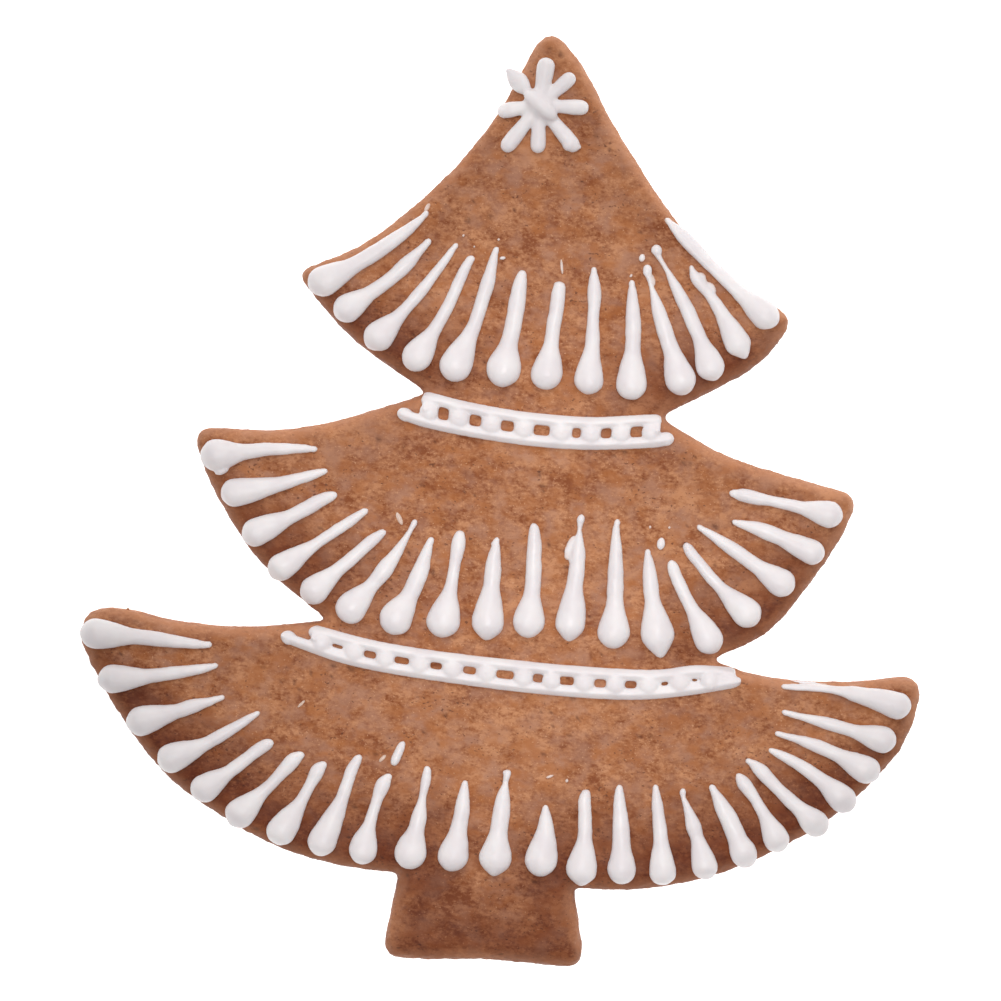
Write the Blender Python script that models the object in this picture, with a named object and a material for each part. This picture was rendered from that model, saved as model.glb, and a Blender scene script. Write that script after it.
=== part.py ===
"""Gingerbread tree biscuit with piped royal icing.

A tree of three tiers and a short trunk, cut from rolled gingerbread dough and baked. It lies on
its flat underside with the decorated face up: +X is the tree's right, +Y its top, +Z is up, and
the built objects are in metres. All sizes below are in millimetres, from the middle of the tree.
The icing is piped on the baked biscuit, so every drop, band and star is a solid of its own.
"""
import math

import bmesh
import bpy
from mathutils import Matrix, Vector
from mathutils.geometry import intersect_point_line

MM = 0.001

# Biscuit -----------------------------------------------------------------------------------------
THICKNESS = 5.5         # of the baked dough
EDGE_IN = 2.6           # the rounded upper edge reaches this far in from the outline
EDGE_DOWN = 2.2         # and falls this far below the top face
EDGE_STEPS = 3          # facets across that rounding
UNDER_IN = 0.5          # small rounding round the underside
UNDER_UP = 0.6
OUTLINE_STEP = 4.2      # spacing of the outline's points on smooth edges
CORNER_STEPS = 5        # facets round a corner
CORNER_KEEP = 0.75      # share of a corner's radius that the rounded edge may take
TIP_EASE = 7.0          # and the edge is back to its full width this far from a tip

# The cutter's outline, clockwise from the top: x, y and how far the corner is rounded to each
# side. A rounding of 0 is a point that a smooth edge passes through.
OUTLINE = [
    (-2.2, 77.1, 5.6),      # top
    (4.6, 69.9, 0),
    (9.9, 61.6, 0),
    (21.2, 47.3, 0),
    (30.3, 39.4, 0),
    (41.6, 33.2, 2.4),      # right tip of the top tier
    (39.3, 28.5, 0),
    (34.6, 23.6, 0),
    (21.6, 15.4, 2.2),      # right neck under the top tier
    (34.3, 9.8, 0),
    (54.6, 5.8, 2.8),       # right tip of the middle tier
    (53.3, 0.4, 0),
    (49.2, -7.4, 0),
    (43.8, -15.8, 0),
    (39.9, -19.1, 0),
    (33.4, -22.8, 1.8),     # right neck under the middle tier
    (42.0, -24.6, 0),
    (55.0, -24.4, 0),
    (67.9, -21.8, 4.6),     # right tip of the bottom tier
    (67.1, -29.0, 0),
    (64.4, -35.7, 0),
    (54.6, -46.8, 0),
    (39.5, -56.3, 0),
    (25.4, -60.6, 0),
    (14.9, -61.3, 1.0),     # trunk, right
    (18.1, -74.2, 4.0),
    (2.7, -74.1, 0),
    (-8.4, -75.1, 0),
    (-14.8, -75.1, 3.4),    # trunk, left
    (-13.2, -61.6, 1.0),
    (-22.7, -61.3, 0),
    (-35.0, -58.5, 0),
    (-48.4, -51.8, 0),
    (-54.4, -47.0, 0),
    (-59.5, -41.4, 0),
    (-64.6, -34.3, 0),
    (-67.6, -29.0, 0),
    (-68.6, -23.9, 5.2),    # left tip of the bottom tier
    (-61.0, -23.3, 0),
    (-53.0, -24.5, 0),
    (-42.0, -24.5, 0),
    (-28.2, -22.2, 1.8),    # left neck under the middle tier
    (-36.9, -16.4, 0),
    (-41.5, -12.4, 0),
    (-47.1, -5.2, 0),
    (-51.1, 1.6, 0),
    (-52.7, 6.8, 3.2),      # left tip of the middle tier
    (-35.4, 8.3, 0),
    (-15.6, 15.7, 1.8),     # left neck under the top tier
    (-27.6, 22.6, 0),
    (-34.2, 28.4, 0),
    (-38.6, 33.2, 2.4),     # left tip of the top tier
    (-27.0, 39.7, 0),
    (-14.9, 52.2, 0),
    (-7.8, 63.5, 0),
]

# Icing -------------------------------------------------------------------------------------------
ICING_GAP = 0.3         # clearance between an icing solid and the biscuit
DRAPE = 0.5             # share of the edge's fall that icing lying over it follows
HEIGHT_FACTOR = 0.6     # a bead of width w stands HEIGHT_FACTOR * w ** HEIGHT_POWER high
HEIGHT_POWER = 0.75
POLE_HEIGHT = 0.3       # height of the point that closes a bead's end
# Half a bead's cross-section and its mirror image: across and up, as shares of its half width and
# height. Wet icing bulges over its own foot.
BEAD_PROFILE = [
    (-0.84, 0.0), (-1.0, 0.3), (-0.72, 0.76), (0.0, 1.0),
    (0.72, 0.76), (1.0, 0.3), (0.84, 0.0),
]

# Where a drop's first rings lie: in head radii from the head's centre, and, up to where the head
# has thinned to the stem, as shares of its shoulder.
HEAD_RINGS = (-0.86, -0.5, 0.06)
SHOULDER_RINGS = (0.5, 0.95)
NIB_SHARE = 0.8         # width of the first ring on a head that was drawn out
TIP_SHARE = 0.7         # width of the last ring of the dash

# How a stroke runs out from its shoulder to its tip. One pair a ring: share of the way, and width
# as a share of the stem's.
STROKES = {
    "taper": ((0.20, 0.97), (0.46, 0.85), (0.72, 0.68), (0.93, 0.45)),
    "full": ((0.20, 1.0), (0.46, 0.97), (0.70, 0.68), (0.92, 0.42)),
    "even": ((0.20, 0.97), (0.46, 0.92), (0.74, 0.88), (0.94, 0.62)),
    "blunt": ((0.20, 0.96), (0.48, 0.94), (0.76, 0.90), (0.95, 0.76)),
    "club": ((0.16, 0.95), (0.40, 0.83), (0.62, 1.0), (0.80, 1.1), (0.94, 0.66)),
    "spear": ((0.16, 1.0), (0.40, 0.78), (0.60, 0.93), (0.76, 0.95), (0.93, 0.42)),
    "wavy": ((0.20, 0.96), (0.40, 0.9), (0.58, 1.04), (0.76, 0.7), (0.93, 0.5)),
    "thin": ((0.20, 1.0), (0.44, 0.92), (0.66, 0.58), (0.92, 0.42)),
    "cone": ((0.25, 0.86), (0.55, 0.64), (0.85, 0.36)),
    "waist": ((0.18, 1.0), (0.34, 0.76), (0.50, 0.46), (0.72, 0.6), (0.93, 0.5)),
    "belly": ((0.12, 0.88), (0.30, 1.12), (0.50, 0.72), (0.70, 0.5), (0.85, 0.26), (0.94, 0.42)),
    "bulb": ((0.20, 1.0), (0.44, 0.93), (0.64, 0.6), (0.80, 0.22), (0.93, 0.5)),
    "thread": ((0.08, 1.0), (0.18, 0.8), (0.32, 0.5), (0.66, 0.4), (0.92, 0.4)),
}
HOOK_START = 0.5        # from this share on, a hooked stroke swings out to the side
HOOK_PEAK = 0.92        # and from this one it turns back to its tip

# The lines that the drops' heads lie on, from the left tip to the right tip of each tier.
TOP_HEADS = [
    (-34.2, 32.0), (-24.5, 24.2), (-14.5, 20.9), (2.0, 20.7),
    (16.6, 20.2), (24.5, 21.8), (31.1, 26.4), (37.0, 33.3),
]
MIDDLE_HEADS = [
    (-48.6, 2.6), (-45.1, -3.1), (-36.7, -14.2), (-24.7, -19.7), (-14.0, -20.6), (10.0, -18.9),
    (18.0, -19.7), (25.0, -19.4), (33.0, -19.2), (43.5, -9.2), (48.1, -3.7), (50.3, 2.5),
]
BOTTOM_HEADS = [
    (-65.3, -27.7), (-61.7, -34.9), (-51.1, -46.6), (-39.4, -54.2), (-26.0, -57.6), (-11.7, -58.0),
    (2.0, -57.5), (16.0, -57.7), (29.0, -57.3), (41.8, -53.4), (52.7, -47.3), (59.6, -38.4),
    (64.0, -27.1),
]

# One row a drop, from left to right: gap from the head before it, how far its head sits out from
# the line, head width, shoulder in head radii, lean from upright to the right in degrees, length
# from head centre to tip, stem width, how far the stem bows to the left and its end hooks to the
# left, and its stroke.
TOP_DROPS = [
    (0.0, 0.0, 4.8, 2.5, 51, 20.2, 2.5, -0.8, -0.2, "full"),
    (5.8, 0.1, 4.6, 1.9, 45, 17.2, 2.3, -0.8, 0.0, "wavy"),
    (6.8, 0.0, 4.9, 2.0, 35, 19.4, 2.0, -0.5, 0.1, "taper"),
    (6.9, 0.0, 4.9, 1.9, 24, 18.2, 2.1, -0.5, 0.5, "even"),
    (6.4, 0.0, 5.3, 2.2, 14, 20.0, 2.3, -0.7, 0.2, "wavy"),
    (7.7, 0.0, 5.6, 1.6, 6, 16.0, 2.8, -0.1, 0.2, "even"),
    (6.9, 0.0, 5.1, 1.8, 3, 14.9, 2.4, -0.1, 0.0, "blunt"),
    (6.9, 0.0, 4.8, 2.1, -3, 18.0, 2.3, -0.3, -0.1, "spear"),
    (6.8, 0.0, 4.9, 2.3, -5, 16.7, 2.5, -0.3, 0.0, "full"),
    (8.0, 0.0, 5.1, 1.9, -22, 18.8, 2.5, 0.2, 0.1, "bulb"),
    (5.2, 0.3, 4.5, 2.0, -31, 21.3, 2.3, -0.6, 0.0, "bulb"),
    (5.7, 0.0, 4.2, 2.7, -36, 14.5, 2.0, -0.3, 0.6, "spear"),
    (6.3, 0.0, 4.7, 2.2, -51, 22.2, 2.4, 0.3, 0.0, "spear"),
]
MIDDLE_DROPS = [
    (0.0, 0.0, 5.2, 1.8, 81, 16.2, 2.3, 0.4, 0.0, "taper"),
    (6.7, 0.0, 4.5, 3.3, 71, 15.2, 2.2, -0.3, 0.0, "taper"),
    (7.2, 0.0, 4.6, 2.5, 60, 14.2, 2.4, 0.0, 0.4, "even"),
    (6.9, 0.0, 4.4, 2.7, 51, 16.6, 1.9, 0.0, 0.0, "even"),
    (6.5, 0.0, 4.6, 2.0, 45, 14.8, 2.2, 0.1, 0.2, "even"),
    (6.6, 0.0, 5.1, 1.7, 31, 17.5, 2.5, -0.7, 0.0, "belly"),
    (7.4, 0.0, 5.4, 1.5, 19, 14.0, 2.8, -0.6, 0.2, "full"),
    (7.6, 0.0, 5.4, 1.9, 5, 14.8, 2.1, -0.2, 0.0, "club"),
    (7.1, 0.1, 5.2, 2.2, 1, 13.5, 2.6, 0.0, 0.2, "full"),
    (6.6, 0.0, 5.2, 1.7, -2, 15.7, 2.6, -0.3, 0.0, "even"),
    (6.7, 0.0, 4.8, 2.6, 1, 17.3, 2.5, 0.0, 0.2, "bulb"),
    (7.1, 0.0, 5.2, 1.8, -3, 18.1, 2.5, 0.0, 0.3, "full"),
    (7.1, 0.0, 5.4, 2.0, -12, 13.8, 2.5, 0.2, 0.1, "full"),
    (8.3, 0.1, 4.7, 2.3, -31, 13.9, 2.1, 0.3, 0.3, "blunt"),
    (7.4, 0.1, 4.7, 2.4, -47, 14.8, 2.0, 0.5, 0.1, "blunt"),
    (7.3, 0.1, 4.5, 2.0, -61, 16.2, 2.3, -0.1, 0.0, "full"),
    (7.0, 0.0, 4.1, 2.5, -74, 13.6, 2.5, -0.4, 0.0, "full"),
    (6.7, 0.0, 4.3, 2.2, -83, 16.3, 2.0, -0.1, 0.0, "club"),
]
BOTTOM_DROPS = [
    (0.0, 0.0, 5.0, 2.4, 90, 18.7, 2.5, 0.1, -0.3, "taper"),
    (7.8, 0.0, 4.7, 2.4, 77, 17.0, 2.3, -0.4, -0.1, "taper"),
    (8.2, 0.0, 4.8, 2.4, 68, 13.9, 2.3, -0.1, -0.1, "thin"),
    (7.7, 0.0, 4.7, 2.5, 57, 15.9, 2.1, -0.5, 0.1, "taper"),
    (7.2, 0.0, 4.5, 2.1, 50, 13.2, 2.2, 0.0, 0.3, "blunt"),
    (7.0, 0.1, 4.8, 2.0, 42, 13.9, 2.2, 0.1, 0.6, "club"),
    (7.2, 0.0, 4.8, 2.3, 28, 12.9, 2.1, 0.0, 0.6, "club"),
    (6.7, -0.1, 4.7, 3.1, 19, 15.0, 2.1, -0.1, 0.5, "even"),
    (6.7, 0.2, 4.6, 1.9, 15, 12.8, 2.1, 0.5, 0.5, "club"),
    (7.6, 0.0, 5.2, 1.5, 6, 14.1, 2.5, -0.2, -0.1, "waist"),
    (6.9, 0.1, 5.0, 1.8, 4, 12.2, 2.5, -0.2, 0.0, "full"),
    (6.8, 0.0, 5.3, 1.5, 3, 14.4, 2.8, 0.1, 0.1, "bulb"),
    (7.3, -0.4, 5.2, 1.7, -1, 8.8, 3.0, -0.4, 0.0, "cone"),
    (6.7, 0.4, 5.0, 2.0, -1, 12.9, 2.3, 0.0, 0.4, "even"),
    (6.4, -0.2, 4.6, 1.5, -7, 13.4, 2.9, 0.0, 0.1, "taper"),
    (6.6, 0.0, 4.3, 2.4, -10, 14.0, 2.3, -0.1, 0.1, "taper"),
    (6.8, 0.1, 4.2, 2.0, -21, 13.0, 2.3, 0.0, 0.4, "belly"),
    (6.6, 0.0, 4.1, 1.5, -31, 12.4, 2.9, -0.2, 0.0, "full"),
    (5.7, -0.7, 4.2, 2.0, -36, 12.1, 2.0, -0.4, 0.1, "club"),
    (6.8, 0.0, 4.3, 1.8, -53, 15.2, 2.4, 0.0, -0.5, "spear"),
    (5.9, 0.0, 4.4, 2.1, -61, 14.3, 2.3, -0.7, 0.0, "taper"),
    (6.0, 0.1, 4.5, 2.3, -73, 15.7, 2.2, -0.6, 0.0, "thin"),
    (5.6, 0.1, 4.3, 2.2, -80, 16.7, 2.1, -0.1, 0.0, "thin"),
    (5.9, 0.0, 4.4, 2.9, -86, 18.8, 2.4, -0.8, 0.0, "thread"),
]
TIERS = [
    ("top", TOP_HEADS, TOP_DROPS),
    ("middle", MIDDLE_HEADS, MIDDLE_DROPS),
    ("bottom", BOTTOM_HEADS, BOTTOM_DROPS),
]
HEAD_REACH = 1.08       # a head's end lies this many radii from its centre
# Drops whose head was drawn out further when the nozzle touched down, and by how much.
NIBS = {
    "top_drop_12": 0.8,
    "middle_drop_09": 0.4,
    "middle_drop_11": 0.6,
    "middle_drop_13": 1.2,
    "bottom_drop_12": 0.4,
    "bottom_drop_14": 0.2,
}
# A dash of icing that broke off above one drop: centre, length, width and lean.
DASH_CENTRE = (-15.1, -42.4)
DASH_LENGTH = 4.1
DASH_WIDTH = 1.5
DASH_LEAN = 19
DASH_END = 0.85         # its end rings lie at this share of half its length

# Ladder bands: two piped rails with a row of dots between them, which leave square holes. Each
# rail is the line of its middle; a hole is where it starts and ends across the tree. A few holes,
# named by where they start, are narrowed by this much from above and from below.
RAIL_WIDTH = 1.85
RAIL_HEIGHT = 1.3
DOT_HEIGHT = 1.75
FOOT_SHARE = 0.38       # height of a rail's outer edge, as a share of its crest
BRIDGE_SHARE = 0.85     # height where a dot runs into a rail, as a share of the rail's crest
HOLE_SHARE = 0.55       # height of the rim round a hole, as a share of the rail's crest
END_TAPER = ((0.0, 0.5), (0.7, 0.9), (1.6, 1.0))    # a rail end's width share by distance from it
UPPER_BAND = {
    "lower_rail": [
        (-20.0, 12.0), (-17.0, 11.3), (-10.0, 10.4), (0.0, 9.75),
        (10.0, 9.9), (20.0, 11.1), (24.0, 11.9),
    ],
    "upper_rail": [
        (-16.4, 15.2), (-10.0, 14.1), (0.0, 13.25), (10.0, 13.35), (16.0, 14.1), (21.9, 15.0),
    ],
    "holes": [
        (-13.8, -12.1), (-8.7, -6.8), (-3.6, -1.5), (1.7, 4.3), (7.9, 9.3), (12.5, 14.2), (17.2, 19.3),
    ],
    "narrowed": {},
}
LOWER_BAND = {
    "lower_rail": [
        (-35.6, -25.3), (-31.0, -26.5), (-25.0, -27.9), (-16.0, -28.9), (0.0, -29.7),
        (12.0, -29.8), (22.0, -29.3), (30.0, -27.9), (38.6, -25.7),
    ],
    "upper_rail": [
        (-30.7, -23.8), (-26.5, -24.6), (-20.0, -25.6), (-10.0, -26.3), (5.0, -26.6),
        (16.0, -26.5), (25.0, -26.0), (31.0, -24.7), (37.6, -24.4),
    ],
    "holes": [
        (-27.4, -25.4), (-22.1, -20.1), (-17.1, -14.7), (-11.3, -9.4), (-6.0, -3.9), (-0.6, 2.2),
        (5.3, 7.0), (9.6, 11.9), (15.2, 17.1), (20.1, 22.0), (25.8, 27.1), (30.6, 32.3),
    ],
    "narrowed": {-27.4: 0.3, 25.8: 0.2, 30.6: 0.3},
}

# Star: arms piped outwards from its middle, as lean, length and width.
STAR_CENTRE = (-2.2, 63.4)
STAR_ARMS = [
    (4, 7.7, 2.9),
    (43, 7.4, 2.4),
    (88, 7.9, 2.5),
    (135, 9.5, 2.6),
    (177, 7.7, 2.5),
    (213, 9.4, 2.6),
    (256, 6.8, 2.5),
]
STAR_ARM_RINGS = (0.08, 0.38, 0.7, 0.88, 0.97)      # shares of an arm's length
STAR_ARM_WIDTHS = (0.95, 0.8, 0.98, 0.95, 0.6)      # shares of its width at those rings
STAR_OVERLAP = 0.7      # each arm starts this far past the star's middle
STAR_HUB_LENGTH = 6.0   # the mound in the middle is a ridge
STAR_HUB_WIDTH = 4.2
STAR_HUB_HEIGHT = 2.1
STAR_HUB_LEAN = 135     # and lies along the last stroke
STAR_HUB_LIFT = 0.02    # the hub's flat foot lies this much above the arms' feet
# The eighth arm slid over the biscuit's edge: a thin neck, a blob and a point. One row a ring:
# distance from the star's middle, and width.
STAR_BLOB_LEAN = 313
STAR_BLOB_RINGS = ((0.3, 1.4), (2.8, 1.2), (3.9, 2.5), (5.2, 3.1), (6.6, 2.1), (7.6, 0.9))
STAR_BLOB_END = 8.3

GINGERBREAD = (0.40, 0.165, 0.078)
ICING = (0.82, 0.77, 0.76)


# Lines -------------------------------------------------------------------------------------------
def smooth_line(points, spacing=0.5):
    """Evenly spaced points on a smooth curve through the given points."""
    knots = [Vector(point) for point in points]
    knots = [knots[0] * 2 - knots[1]] + knots + [knots[-1] * 2 - knots[-2]]
    dense = []
    for before, start, end, after in zip(knots, knots[1:], knots[2:], knots[3:]):
        count = max(2, math.ceil((end - start).length / spacing))
        for index in range(count):
            t = index / count
            slope = (end - before) * t
            bend = (2 * before - 5 * start + 4 * end - after) * t ** 2
            twist = (3 * start - before - 3 * end + after) * t ** 3
            dense.append((2 * start + slope + bend + twist) / 2)
    return dense + [knots[-2]]


def line_length(line):
    return sum((b - a).length for a, b in zip(line, line[1:]))


def point_along(line, distance):
    """The point this far along a line."""
    for start, end in zip(line, line[1:]):
        span = (end - start).length
        if distance <= span:
            return start.lerp(end, max(distance, 0.0) / span)
        distance -= span
    return line[-1].copy()


def head_place(line, distance, out):
    """The place this far along a tier's line of heads and this far out from it."""
    before, after = point_along(line, distance - 1), point_along(line, distance + 1)
    along = (after - before).normalized()
    return point_along(line, distance) + Vector((along.y, -along.x)) * out


def height_across(line, x):
    """The y of a left-to-right line at this x."""
    for start, end in zip(line, line[1:]):
        if x <= end.x:
            share = (x - start.x) / (end.x - start.x)
            return start.y + (end.y - start.y) * share
    return line[-1].y


# Biscuit -----------------------------------------------------------------------------------------
def rounded_corner(start, corner, end):
    """Points strictly between start and end on the curve that rounds off a corner."""
    arc = []
    for index in range(1, CORNER_STEPS):
        t = index / CORNER_STEPS
        arc.append(start * (1 - t) ** 2 + corner * 2 * t * (1 - t) + end * t ** 2)
    return arc


def cutter_outline():
    """The whole outline, clockwise, with its corners rounded."""
    corners = [index for index, row in enumerate(OUTLINE) if row[2] > 0]
    edges = []
    for first, last in zip(corners, corners[1:] + [len(OUTLINE)]):
        rows = [OUTLINE[index % len(OUTLINE)] for index in range(first, last + 1)]
        line = smooth_line([row[:2] for row in rows])
        start, stop = rows[0][2], line_length(line) - rows[-1][2]
        count = max(1, round((stop - start) / OUTLINE_STEP))
        spots = [start + (stop - start) * index / count for index in range(count + 1)]
        edges.append([point_along(line, spot) for spot in spots])
    outline = []
    for index, edge in enumerate(edges):
        following = edges[(index + 1) % len(edges)]
        corner = Vector(OUTLINE[corners[(index + 1) % len(corners)]][:2])
        outline += edge + rounded_corner(edge[-1], corner, following[0])
    return outline


def edge_normals(outline):
    """At each point, the way in from the outline, and the share of a full inset that fits there."""
    normals, shares = [], []
    for index, point in enumerate(outline):
        before, after = outline[index - 1], outline[(index + 1) % len(outline)]
        chord = after - before
        normals.append(Vector((chord.y, -chord.x)).normalized())
        turn = (before - point).cross(after - point)
        sides = (point - before).length * (after - point).length * chord.length
        radius = sides / (2 * turn) if turn > 1e-6 else math.inf
        shares.append(min(1.0, CORNER_KEEP * radius / EDGE_IN))
    return normals, shares


def inset_outline(outline, inset):
    """The outline moved in, and less so at tight tips, where it would cross itself."""
    normals, shares = edge_normals(outline)
    ring = []
    for point, normal in zip(outline, normals):
        share = min(limit + (point - other).length / TIP_EASE for limit, other in zip(shares, outline))
        ring.append(point + normal * inset * min(share, 1.0))
    return ring


def edge_fall(place, outline):
    """How far the rounded edge lies below the flat top at a place."""
    spans = list(zip(outline, outline[1:] + outline[:1]))
    inset = math.inf
    crossings = 0
    for start, end in spans:
        foot, share = intersect_point_line(place, start, end)
        nearest = start.lerp(end, min(max(share, 0.0), 1.0))
        inset = min(inset, (place - nearest).length)
        if (start.y > place.y) != (end.y > place.y):
            reach = start.x + (end.x - start.x) * (place.y - start.y) / (end.y - start.y)
            crossings += reach > place.x
    if crossings % 2 == 0:
        inset = 0.0
    rest = 1 - min(inset / EDGE_IN, 1.0)
    return EDGE_DOWN * (1 - math.sqrt(1 - rest * rest))


def biscuit_mesh(outline):
    """A plate with a rounded upper edge, as rings from the underside up to the top face."""
    side_top = THICKNESS - EDGE_DOWN
    levels = [(UNDER_IN, 0.0), (0.0, UNDER_UP), (0.0, side_top)]
    for step in range(1, EDGE_STEPS + 1):
        angle = math.pi / 2 * step / EDGE_STEPS
        levels.append((EDGE_IN * (1 - math.cos(angle)), side_top + EDGE_DOWN * math.sin(angle)))
    rings = []
    for inset, height in levels:
        rings.append([Vector((point.x, point.y, height)) for point in inset_outline(outline, inset)])
    mesh = bmesh.new()
    verts = [[mesh.verts.new(point * MM) for point in ring] for ring in rings]
    mesh.faces.new(verts[0])
    mesh.faces.new(verts[-1])
    for lower, upper in zip(verts, verts[1:]):
        for index in range(len(lower)):
            after = (index + 1) % len(lower)
            mesh.faces.new((lower[index], lower[after], upper[after], upper[index]))
    return mesh


# Icing -------------------------------------------------------------------------------------------
def icing_base(x, y, outline):
    """Height of an icing solid's underside over this place."""
    return THICKNESS + ICING_GAP - DRAPE * edge_fall(Vector((x, y)), outline)


def bead_mesh(centres, widths, start, end, outline):
    """A piped bead: a domed ring at each centre, closed by a point at each end."""
    mesh = bmesh.new()
    path = [start] + centres + [end]
    rings = []
    for index, (centre, width) in enumerate(zip(centres, widths), 1):
        along = (path[index + 1] - path[index - 1]).normalized()
        across = Vector((along.y, -along.x))
        height = HEIGHT_FACTOR * width ** HEIGHT_POWER
        ring = []
        for side, up in BEAD_PROFILE:
            place = centre + across * side * width / 2
            level = icing_base(place.x, place.y, outline) + up * height
            ring.append(mesh.verts.new(Vector((place.x, place.y, level)) * MM))
        rings.append(ring)
    for first, last in zip(rings, rings[1:]):
        for index in range(len(first)):
            after = (index + 1) % len(first)
            mesh.faces.new((first[index], last[index], last[after], first[after]))
    for point, ring in ((start, rings[0]), (end, rings[-1])):
        level = icing_base(point.x, point.y, outline) + POLE_HEIGHT
        pole = mesh.verts.new(Vector((point.x, point.y, level)) * MM)
        for index in range(len(ring)):
            mesh.faces.new((pole, ring[index], ring[(index + 1) % len(ring)]))
    return mesh


def head_swell(distance, radius, shoulder):
    """How far a drop is swelled from its stem's width to its head's at this distance, up to 1."""
    return max(1 - (distance / (shoulder * radius)) ** 2, 0.0) ** 2


def drop_rings(head, shoulder, length, stem, stroke):
    """Where along a drop its rings lie, from its head's centre, and how wide they are."""
    radius = head / 2
    rings = []
    for ring in HEAD_RINGS:
        distance = ring * radius
        width = 2 * math.sqrt(radius ** 2 - distance ** 2)
        rings.append((distance, width))
    for ring in SHOULDER_RINGS:
        distance = ring * shoulder * radius
        rings.append((distance, stem + (head - stem) * head_swell(distance, radius, shoulder)))
    start = rings[-1][0]
    for share, width in STROKES[stroke]:
        rings.append((start + (length - start) * share, stem * width))
    return rings


def hook_share(share):
    """How far a hooked stroke has swung out at this share of its length, up to 1."""
    if share < HOOK_START:
        return 0.0
    if share < HOOK_PEAK:
        return (share - HOOK_START) / (HOOK_PEAK - HOOK_START)
    return (1 - share) / (1 - HOOK_PEAK)


def drop_mesh(name, head_at, row, outline):
    """One icing drop, from the rounded end of its head to the tip of its tail."""
    head, shoulder, lean, length, stem, bow, hook, stroke = row[2:]
    radius = head / 2
    along = Vector((math.sin(math.radians(lean)), math.cos(math.radians(lean))))
    left = Vector((-along.y, along.x))
    rings = drop_rings(head, shoulder, length, stem, stroke)
    nib = NIBS.get(name, 0.0)
    if nib:
        rings[0] = (rings[0][0] - nib * 0.5, rings[0][1] * NIB_SHARE)
    centres = []
    for distance, width in rings:
        share = min(max(distance / length, 0.0), 1.0)
        aside = bow * math.sin(math.pi * share) + hook * hook_share(share)
        centres.append(head_at + along * distance + left * aside)
    start = head_at - along * (radius * HEAD_REACH + nib)
    widths = [width for distance, width in rings]
    return bead_mesh(centres, widths, start, head_at + along * length, outline)


def dash_mesh(outline):
    """The short broken-off dash."""
    centre = Vector(DASH_CENTRE)
    lean = math.radians(DASH_LEAN)
    along = Vector((math.sin(lean), math.cos(lean)))
    half = DASH_LENGTH / 2
    spots = [-DASH_END * half, 0.0, DASH_END * half]
    widths = [NIB_SHARE * DASH_WIDTH, DASH_WIDTH, TIP_SHARE * DASH_WIDTH]
    centres = [centre + along * spot for spot in spots]
    return bead_mesh(centres, widths, centre - along * half, centre + along * half, outline)


def taper(x, ends):
    """Width share of a rail near its ends."""
    away = min(abs(x - end) for end in ends)
    for (near, low), (far, high) in zip(END_TAPER, END_TAPER[1:]):
        if away < far:
            return low + (high - low) * (away - near) / (far - near)
    return 1.0


def band_mesh(band, outline):
    """A ladder band as one sheet of cells with holes, domed on top and flat below."""
    lower = smooth_line(band["lower_rail"])
    upper = smooth_line(band["upper_rail"])
    ends = {"lower": (lower[0].x, lower[-1].x), "upper": (upper[0].x, upper[-1].x)}
    stations = band_stations(band["holes"], ends)
    mesh = bmesh.new()
    tops, feet = [], []
    for x in stations:
        narrowing = hole_narrowing(x, band["holes"], band["narrowed"])
        places = band_section(x, lower, upper, ends, narrowing)
        heights = band_heights(x, band["holes"])
        tops.append([])
        feet.append([])
        for y, height in zip(places, heights):
            base = icing_base(x, y, outline)
            tops[-1].append(mesh.verts.new(Vector((x, y, base + height)) * MM))
            feet[-1].append(mesh.verts.new(Vector((x, y, base)) * MM))
    for column, (left, right) in enumerate(zip(stations, stations[1:])):
        for row in range(len(tops[0]) - 1):
            if cell_is_open(row, (left + right) / 2, band["holes"], ends):
                continue
            corners = [(column, row), (column + 1, row), (column + 1, row + 1), (column, row + 1)]
            mesh.faces.new([tops[i][j] for i, j in corners])
            mesh.faces.new([feet[i][j] for i, j in reversed(corners)])
    close_sides(mesh, tops, feet)
    return mesh


def band_stations(holes, ends):
    """Where across the tree a band's sections are cut: at holes, dots and rail ends."""
    stations = [x for hole in holes for x in hole]
    for before, after in zip(holes, holes[1:]):
        stations.append((before[1] + after[0]) / 2)
    for rail in ("lower", "upper"):
        first, last = ends[rail]
        stations += [first, first + END_TAPER[1][0], last - END_TAPER[1][0], last]
    return sorted(stations)


def band_section(x, lower, upper, ends, narrowing):
    """The seven y values of a band's section: both rails' edges and middles, and the dots'."""
    low, high = height_across(lower, x), height_across(upper, x)
    low_half = RAIL_WIDTH / 2 * taper(x, ends["lower"])
    high_half = RAIL_WIDTH / 2 * taper(x, ends["upper"])
    lower_rail = [low - low_half, low, low + low_half + narrowing]
    upper_rail = [high - high_half - narrowing, high, high + high_half]
    return lower_rail + [(low + high) / 2] + upper_rail


def hole_narrowing(x, holes, narrowed):
    """How far the hole at this x, if any, is narrowed from above and from below."""
    for start, end in holes:
        if start <= x <= end:
            return narrowed.get(start, 0.0)
    return 0.0


def band_heights(x, holes):
    """The heights at those seven places."""
    edges = [edge for hole in holes for edge in hole]
    at_hole = min(abs(x - edge) for edge in edges) < 0.01
    foot = RAIL_HEIGHT * FOOT_SHARE
    inner = RAIL_HEIGHT * (HOLE_SHARE if at_hole else BRIDGE_SHARE)
    middle = RAIL_HEIGHT * HOLE_SHARE if at_hole else DOT_HEIGHT
    return [foot, RAIL_HEIGHT, inner, middle, inner, RAIL_HEIGHT, foot]


def cell_is_open(row, x, holes, ends):
    """Whether a cell of the band is left out: past a rail's end, or in a hole."""
    dots, upper_rail = row in (2, 3), row > 3
    past_lower = not ends["lower"][0] < x < ends["lower"][1]
    past_upper = not ends["upper"][0] < x < ends["upper"][1]
    if dots:
        return past_upper or any(start < x < end for start, end in holes)
    return past_upper if upper_rail else past_lower


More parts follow.
